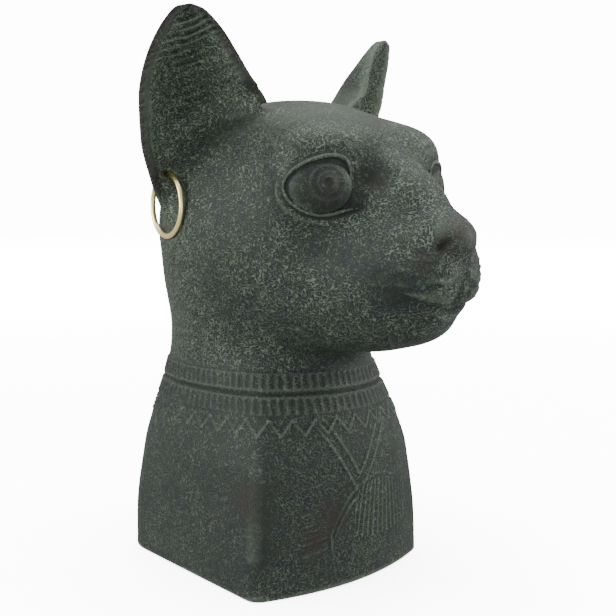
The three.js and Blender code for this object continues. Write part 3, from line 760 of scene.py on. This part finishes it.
# The coat turns this sharpness into paler raised lines, as wear and painted highlight, and darker
# cuts, as patina and painted shade.
def mark_wear_and_cavity_shade(mesh):
    """Stores on every vertex, as "proud", how sharply it stands over its neighbours: its height
    over their mean by the square of their spacing, per millimetre. Raised lines are above 0 and
    cuts below, and broad forms stay near 0."""
    places, ends = vertex_places(mesh), edge_ends(mesh)
    normals = np.empty(len(places) * 3)
    mesh.vertices.foreach_get("normal", normals)
    normals = normals.reshape(-1, 3)
    wide = neighbour_mean(neighbour_mean(places, ends), ends)
    length = ((places[ends[:, 0]] - places[ends[:, 1]]) ** 2).sum(1)
    total = sum(np.bincount(ends[:, k], length, len(places)) for k in (0, 1))
    spacing = total / (np.bincount(ends.ravel(), minlength=len(places)) + TINY)
    proud = ((places - wide) * normals).sum(1)[:, None] / (spacing[:, None] + TINY) * MM
    for _ in range(2):
        proud = (proud + neighbour_mean(proud, ends)) / 2
    mesh.attributes.new("proud", "FLOAT", "POINT").data.foreach_set("value", proud.ravel())


# Places of the coat, each with its reach: painted shade in the hollows of the face and on the front
# corners of the base, brown at the nose and the eyes, and brown on the right of the chest
PAINTED_SHADE_PLACES = (((11.5, 63.3, 135.5), 5), ((35.8, 43, 132), 6), ((22.1, 61.5, 111), 5),
               ((28, 53, 112), 5), ((17, 69, 108), 5), ((14, 80, 104), 6), ((17, 77, 98), 6),
               ((9, 86.5, 112), 2.5), ((40, 40, 17), 8), ((40, 40, 30), 8), ((39, 40.5, 43), 8))
BROWN_PLACES = (((2.8, 90, 118.3), 5), ((7, 88, 115.5), 3.5), ((12.4, 84, 109.4), 3),
                ((11.7, 65, 133), 3.5), ((25, 57, 134), 3), ((25.3, 57, 129.5), 3))
BROWN_CHEST_PLACES = (((11, 45, 24), 6), ((18, 44, 18), 5), ((37.4, 31.7, 32), 5))


def mark_painted_light_and_brown(mesh):
    """Stores on every vertex the painted light and shade of the coat: painted light, over 0, in the
    cups of the ears, more so in the left one, and painted shade, under 0, in the eyes and at the
    shaded places. And as "blushed" how brown it is: on the rims of the ears and at the brown
    places."""
    places = vertex_places(mesh)
    x, f, z = (places / IN_METRES).T
    left = smooth_step(x + 0.5)
    x = np.abs(x)
    to_ear, before, inside = ear_distance(x, f, z)
    rim = smooth_step(0.5 - inside) * smooth_step((z - 125) / 10) * smooth_step(2 - to_ear)
    rim = rim * (1 - 0.7 * left)
    # Painted light in the cups of the ears, which lie in their own shade: stronger in the left ear
    # and none on the brown rims.
    in_ear = smooth_step((6 - to_ear) / 5) * smooth_step(before / 1.5)
    painted_light_and_shade = in_ear * (1 - rim) * (1 + 0.9 * left)
    blushed = 0.7 * rim * smooth_step((before + 2) / 2)
    _, _, _, past, front = eye_place(x, f, z)
    # Painted shade inside the eye openings, where the lids shade them.
    painted_light_and_shade = painted_light_and_shade - 0.75 * front * smooth_step(-past / 1.5) * (np.abs(z - EYE["at"][2]) < 14)

    def near(at, reach):
        """1 at a place and its mirror place, fading within a reach."""
        return np.exp(-((x - at[0]) ** 2 + (f - at[1]) ** 2 + (z - at[2]) ** 2) / reach ** 2)

    # Painted shade at the hollows of the face, the nostrils and the front corners of the base.
    for at, reach in PAINTED_SHADE_PLACES:
        painted_light_and_shade = painted_light_and_shade - 0.55 * near(at, reach)
    for at, reach in BROWN_PLACES:
        blushed = np.maximum(blushed, near(at, reach))
    for at, reach in BROWN_CHEST_PLACES:
        blushed = np.maximum(blushed, near(at, reach) * (1 - left))
    for name, values in (("painted_light_and_shade", painted_light_and_shade), ("blushed", blushed)):
        mesh.attributes.new(name, "FLOAT", "POINT").data.foreach_set("value", values)


def cat_bust(material):
    """The casting: body, ears, lids and eyeballs joined, the ring channels cut, as one mesh."""
    bust = body_object(material)
    others = []
    for side in (1, -1):
        others += [(ear_object(side, material), "UNION"),
                   (eye_ball_object(side, material), "UNION"),
                   (eye_rim_object(side, material), "UNION"),
                   (ring_object("channel", side, material, RING_CLEARANCE), "DIFFERENCE")]
    for other, operation in others:
        join = bust.modifiers.new("join", "BOOLEAN")
        join.operation, join.solver, join.object = operation, "MANIFOLD", other
    joined = bust.evaluated_get(bpy.context.evaluated_depsgraph_get())
    mesh = bpy.data.meshes.new_from_object(joined)
    bust.modifiers.clear()
    bust.data = mesh
    for other, _ in others:
        bpy.data.objects.remove(other)
    mesh.polygons.foreach_set("use_smooth", [True] * len(mesh.polygons))
    soften_ear_roots(mesh)
    mark_wear_and_cavity_shade(mesh)
    mark_painted_light_and_brown(mesh)
    return bust


# Materials
class Value:
    """A socket's value, with shader maths written as Python."""

    def __init__(self, sheet, socket):
        self.sheet, self.socket = sheet, socket

    def _math(self, operation, a, b=0.0):
        return self.sheet.add("ShaderNodeMath", dict(operation=operation), {0: a, 1: b})

    def __add__(self, other): return self._math("ADD", self, other)
    def __radd__(self, other): return self._math("ADD", other, self)
    def __sub__(self, other): return self._math("SUBTRACT", self, other)
    def __rsub__(self, other): return self._math("SUBTRACT", other, self)
    def __mul__(self, other): return self._math("MULTIPLY", self, other)
    def __rmul__(self, other): return self._math("MULTIPLY", other, self)
    def least(self, other): return self._math("MINIMUM", self, other)
    def most(self, other): return self._math("MAXIMUM", self, other)
    def size(self): return self._math("ABSOLUTE", self)

    def rise(self, low, high):
        """0 up to low, 1 from high on, and a smooth rise between."""
        return self.sheet.add("ShaderNodeMapRange", dict(interpolation_type="SMOOTHSTEP"),
                              {"Value": self, "From Min": low, "From Max": high})

    def between(self, low, low_full, high_full, high):
        """0 outside the outer limits, 1 between the inner ones, and smooth between."""
        return self.rise(low, low_full) * (1 - self.rise(high_full, high))


class Sheet:
    """A material's nodes."""

    def __init__(self, name, colour, roughness, metallic=0.0):
        self.material = bpy.data.materials.new(name)
        self.material.use_nodes = True
        self.tree = self.material.node_tree
        self.shader = self.tree.nodes["Principled BSDF"]
        self.set(Roughness=roughness, Metallic=metallic)
        self.shader.inputs["Base Color"].default_value = (*colour, 1)

    def set(self, **values):
        """Values or links of the shader's own sockets, named with _ for a space."""
        for name, value in values.items():
            self.put(self.shader.inputs[name.replace("_", " ")], value)

    def put(self, socket, value):
        """Links a value to a socket, or writes a constant there."""
        if isinstance(value, Value):
            self.tree.links.new(value.socket, socket)
        elif socket.type == "RGBA" and len(value) == 3:
            socket.default_value = (*value, 1)
        else:
            socket.default_value = value

    def add(self, kind, settings=None, sockets=None, out=0):
        """A node of a type, with its settings and the values or links of its sockets."""
        node = self.tree.nodes.new(kind)
        for name, value in (settings or {}).items():
            setattr(node, name, value)
        for name, value in (sockets or {}).items():
            self.put(node.inputs[name], value)
        return Value(self, node.outputs[out])

    def place(self, stretch=(1, 1, 1), turned=(0, 0, 0)):
        """Object coordinates in metres, turned and then stretched."""
        place = self.add("ShaderNodeTexCoord", out=3)
        place = self.add("ShaderNodeVectorRotate", dict(rotation_type="EULER_XYZ"),
                         {"Vector": place, "Rotation": turned})
        return self.add("ShaderNodeMapping", None, {"Vector": place, "Scale": stretch})

    def part_of(self, place, axis):
        """One of the three coordinates of a place."""
        return self.add("ShaderNodeSeparateXYZ", None, {"Vector": place}, out=axis)

    def noise(self, place, pitch, detail=2.0):
        """Soft noise whose patches are about a pitch across, from 0 to 1."""
        return self.add("ShaderNodeTexNoise", None, {
            "Vector": place, "Scale": 1 / pitch, "Detail": detail})

    def blend(self, share, first, second):
        """Mix of two colours by a share."""
        node = self.tree.nodes.new("ShaderNodeMix")
        node.data_type = "RGBA"
        colours = [s for s in node.inputs if s.type == "RGBA"]
        self.put(node.inputs[0], share)
        self.put(colours[0], first)
        self.put(colours[1], second)
        return Value(self, [s for s in node.outputs if s.type == "RGBA"][0])


# The coat: grounds, brown, cuts and strokes, the paler strokes of painted light, and the heights in
# metres of the painted light on the crown and the back of the neck, and of the darker collar
GROUND_BLUE, GROUND_GREEN = (0.0066, 0.012, 0.012), (0.0088, 0.015, 0.009)
GROUND_BROWN, CUT_DARK = (0.024, 0.017, 0.0145), (0.005, 0.0065, 0.006)
STROKE_GREEN, STROKE_PAINTED_LIGHT = (0.12, 0.157, 0.113), (0.2, 0.25, 0.185)
CROWN_LIGHT_BAND, NECK_LIGHT_BAND = (0.145, 0.165, 0.168, 0.174), (0.07, 0.085, 0.12, 0.14)
COLLAR_BAND = (0.0575, 0.0585, 0.0715, 0.073)
STROKE_PITCH = 0.68 * MM


def patina():
    """Dark green-black patina with short pale green strokes: lines where a soft noise crosses its
    middle, the noise being stretched level, upright or slanting in small patches. The crown is
    painted evenly pale as painted light from above, and the back of the neck is paler as painted
    light; lower down the coat is darker towards the bottom as painted shade, and the collar is
    darker. Proud lines are paler, as wear and painted highlight, and cuts are darker, as patina and
    painted shade. The cups of the ears carry painted light, the eyes and the shaded places painted
    shade, and some places are brown."""
    sheet = Sheet("green_black_patina", (0.04, 0.05, 0.042), 0.5)
    sheet.set(Specular_IOR_Level=0.4)
    place = sheet.place()
    backward, height = sheet.part_of(place, 1), sheet.part_of(place, 2)
    proud, painted_light_and_shade, blushed = (sheet.add("ShaderNodeAttribute", dict(attribute_name=name), out=2)
                              for name in ("proud", "painted_light_and_shade", "blushed"))
    cloud = sheet.noise(place, 14 * MM, 3)
    tint = sheet.noise(place, 5 * MM, 1)
    broken = sheet.noise(place, 2.0 * MM, 1)
    grain = sheet.noise(place, 0.6 * MM, 1)
    brown_cloud = sheet.noise(place, 9 * MM, 2)

    level = sheet.noise(sheet.place((0.5, 0.5, 1)), STROKE_PITCH, 0)
    upright = sheet.noise(sheet.place((1, 1, 0.45)), STROKE_PITCH, 0)
    slant = sheet.noise(sheet.place((1, 1, 0.5), (0.9, 0.7, 0.3)), STROKE_PITCH, 0)
    turned = sheet.noise(place, 2.8 * MM, 0)
    line = slant + turned.rise(0.5, 0.56) * (level - slant)
    line = line + (1 - turned).rise(0.54, 0.6) * (upright - line)
    stroke = (1 - (line - 0.5).size() * 10.8).rise(0.02, 0.62)

    # Painted light from above: the crown is painted evenly pale.
    crown = height.between(*CROWN_LIGHT_BAND) * (1 - painted_light_and_shade.rise(0.1, 0.5)) * 0.6
    # Painted light on the back of the neck.
    neck = height.between(*NECK_LIGHT_BAND) * backward.rise(-0.02, 0.03)
    collar = height.between(*COLLAR_BAND)
    pale = stroke * (0.62 + 0.38 * broken.rise(0.3, 0.55)) * (1 - crown) + crown * 0.6
    pale = pale * (0.65 + 0.35 * cloud.rise(0.35, 0.65))
    # Painted shade: darker towards the bottom, where light from above falls off; also darker on the
    # collar, and painted light on the back of the neck.
    pale = pale * (0.62 + 0.38 * height.rise(0.04, 0.085) + 1.9 * neck) * (1 - 0.4 * collar)
    # Raised lines paler: wear and painted highlight.
    raised = proud.rise(0.04, 0.16) * (1 - 0.35 * collar)
    # Painted light in the cups of the ears and painted shade in the eyes and hollows.
    pale = pale + raised * (0.25 + 0.35 * line) + painted_light_and_shade * (0.12 + 0.75 * stroke)
    pale = pale.least(1.0).most(0.0)

    ground = sheet.blend(tint.rise(0.4, 0.6), GROUND_BLUE, GROUND_GREEN)
    brown = (brown_cloud.rise(0.6, 0.75) * 0.3).most(blushed * 0.7)
    ground = sheet.blend(brown, ground, GROUND_BROWN)
    # The paler stroke colour in the cups of the ears is painted light.
    stroke_colour = sheet.blend(painted_light_and_shade.rise(0.3, 1.0) * 0.8, STROKE_GREEN, STROKE_PAINTED_LIGHT)
    worn = sheet.blend(pale * (1 - blushed * 0.8), ground, stroke_colour)
    # Cuts darker: patina and painted shade, less so in the cups of the ears.
    cut = (0 - proud).rise(0.05, 0.25) * (1 - painted_light_and_shade.rise(0.0, 0.5) * 0.45) * 0.8
    bump = sheet.add("ShaderNodeBump", None, {
        "Height": stroke + grain * 0.4, "Strength": 1.0, "Distance": 0.42 * MM})
    sheet.set(Base_Color=sheet.blend(cut, worn, CUT_DARK), Roughness=0.5 + 0.2 * grain,
              Normal=bump)
    return sheet.material


def pale_gold():
    """Polished pale gold wire with a little unevenness."""
    sheet = Sheet("pale_gold_wire", (1.0, 0.87, 0.4), 0.3, 1.0)
    uneven = sheet.noise(sheet.place(), 3 * MM)
    sheet.set(Roughness=0.26 + 0.1 * uneven)
    return sheet.material


def floor_white():
    """Plain pale floor, glowing towards its far edge so that it meets the surround unseen."""
    sheet = Sheet("pale_floor", (0.86, 0.86, 0.86), 0.8)
    away = sheet.add("ShaderNodeVectorMath", dict(operation="LENGTH"), {0: sheet.place()}, out=1)
    glow = sheet.blend(away.rise(0.15, 1.6), (0.35, 0.35, 0.35), (1, 1, 1))
    sheet.set(Emission_Color=glow, Emission_Strength=SURROUND_SEEN)
    return sheet.material


# Studio
CAMERA_AT = Vector((-0.21005, -0.25738, 0.12132))
CAMERA_AZIMUTH, CAMERA_DIP = radians(41.5), radians(5.4)
PICTURE, FOCAL_PIXELS, SENSOR = 616, 905, 36.0
SURROUND_LIGHT, SURROUND_SEEN = 0.66, 14.0
FLOOR_REACH = 8.0
LAMPS = (  # name, place, aim, width in metres and watts
    ("top_lamp", (0.1, -0.05, 0.8), (0, 0, 0.11), 0.6, 5.5),
    ("left_lamp", (-0.75, 0.2, 0.35), (0, 0, 0.14), 0.6, 6.5),
    ("low_lamp", (-0.3, -0.5, 0.04), (0, -0.04, 0.1), 0.4, 0.75),
    ("right_lamp", (0.5, -0.5, 0.3), (0, 0, 0.1), 0.4, 3.6),
)


def camera():
    """Camera at the photograph's place: turned by the azimuth about up, dipped by a few degrees."""
    data = bpy.data.cameras.new("studio_camera")
    data.sensor_width, data.lens = SENSOR, SENSOR * FOCAL_PIXELS / PICTURE
    data.clip_start = 0.01
    eye = bpy.data.objects.new("studio_camera", data)
    eye.location = CAMERA_AT
    eye.rotation_euler = (pi / 2 - CAMERA_DIP, 0, -CAMERA_AZIMUTH)
    bpy.context.scene.collection.objects.link(eye)
    bpy.context.scene.camera = eye


def softbox(name, at, target, size, power):
    """Square area light aimed at a target."""
    data = bpy.data.lights.new(name, "AREA")
    data.shape, data.size, data.energy = "SQUARE", size, power
    lamp = bpy.data.objects.new(name, data)
    lamp.location = at
    lamp.rotation_euler = (Vector(target) - Vector(at)).to_track_quat("-Z", "Y").to_euler()
    bpy.context.scene.collection.objects.link(lamp)
    return lamp


def surround():
    """World of even white: one strength as light, another, brighter one as the backdrop seen."""
    world = bpy.data.worlds.new("studio_surround")
    world.use_nodes = True
    tree = world.node_tree
    light, path = tree.nodes["Background"], tree.nodes.new("ShaderNodeLightPath")
    light.inputs["Color"].default_value = (1, 1, 1, 1)
    strength = tree.nodes.new("ShaderNodeMapRange")
    strength.inputs["To Min"].default_value = SURROUND_LIGHT
    strength.inputs["To Max"].default_value = SURROUND_SEEN
    tree.links.new(path.outputs["Is Camera Ray"], strength.inputs["Value"])
    tree.links.new(strength.outputs["Result"], light.inputs["Strength"])
    bpy.context.scene.world = world


def studio():
    """Pale floor running far back under its own lamp, a pale surround and the soft lamps."""
    corners = np.array([[-1, -1, 0], [1, -1, 0], [1, 1, 0], [-1, 1, 0]]) * FLOOR_REACH
    floor = mesh_object("studio_floor", corners, [[0, 1, 2, 3]], floor_white())
    floor.visible_diffuse = floor.visible_glossy = False
    surround()
    for lamp in LAMPS:
        softbox(*lamp)
    wash = softbox("floor_lamp", (0, 0, 3.0), (0, 0, 0), 3.0, 900)
    lit = bpy.data.collections.new("floor_only")
    lit.objects.link(floor)
    wash.light_linking.receiver_collection = lit


def main():
    """Camera, casting, both rings and studio."""
    camera()
    metal, gold = patina(), pale_gold()
    bust = cat_bust(metal)
    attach(bust, "root")
    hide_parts("cat_bust")
    for name, side in (("right", -1), ("left", 1)):
        ring = ring_object("earring_" + name + "_wire", side, gold)
        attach(ring, "root")
        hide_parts("earring_" + name)
    studio()


main()
